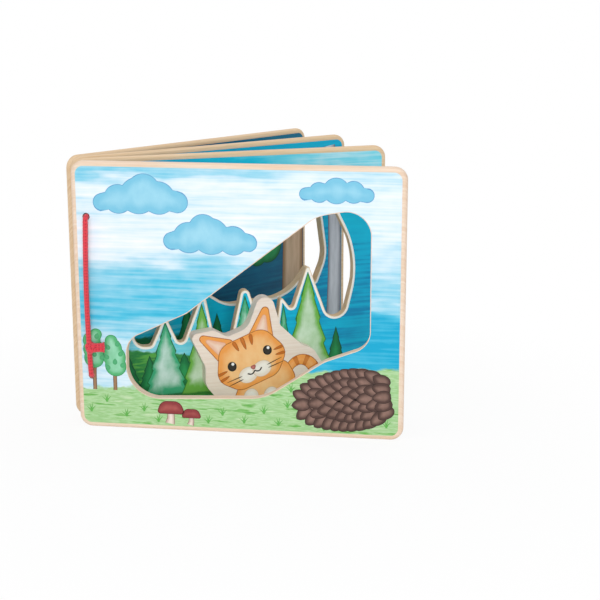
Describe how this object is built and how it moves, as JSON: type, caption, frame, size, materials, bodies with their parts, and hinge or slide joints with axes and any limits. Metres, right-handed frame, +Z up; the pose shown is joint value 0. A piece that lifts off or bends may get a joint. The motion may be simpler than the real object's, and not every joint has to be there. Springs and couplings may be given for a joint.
{
  "type": "wooden picture book",
  "caption": "Cord-bound wooden picture book with windowed boards, standing fanned open, and a thick play figure that looks out of the cover's window.",
  "frame": {"origin": "middle of the front cover's bottom edge, on the surface that the book stands on", "axes": "+X along the front cover from the spine to the fore edge, +Y backwards through the fan, +Z up"},
  "size_m": [0.1876, 0.1645, 0.149],
  "materials": {
    "cover_board": "sanded pale plywood with a satin printed face and bare rounded edges",
    "page_board": "sanded pale plywood with a satin printed face and bare rounded edges",
    "cord": "braided matt cotton cord",
    "figure_wood": "sanded pale wood with a satin printed front"
  },
  "bodies": {
    "back_cover": {"back_cover": "cover_board", "binding_cord": "cord"},
    "page_two": {"page_two": "page_board"},
    "page_one": {"page_one": "page_board", "play_figure": "figure_wood"},
    "front_cover": {"front_cover": "cover_board"}
  },
  "joints": [
    {"name": "page_two_turn", "type": "hinge", "parent": "back_cover", "child": "page_two", "pos_m": [-0.09448, 0.01241, 0], "axis": [0, 0, -1], "range_deg": [-11.1, 33.9], "deforming": ["binding_cord"]},
    {"name": "page_one_turn", "type": "hinge", "parent": "page_two", "child": "page_one", "pos_m": [-0.09167, 0.00782, 0], "axis": [0, 0, -1], "range_deg": [-15.6, 29.4], "deforming": ["binding_cord"]},
    {"name": "front_cover_turn", "type": "hinge", "parent": "page_one", "child": "front_cover", "pos_m": [-0.0902, 0.00265, 0], "axis": [0, 0, -1], "range_deg": [-16.5, 154.5], "deforming": ["binding_cord"]}
  ]
}
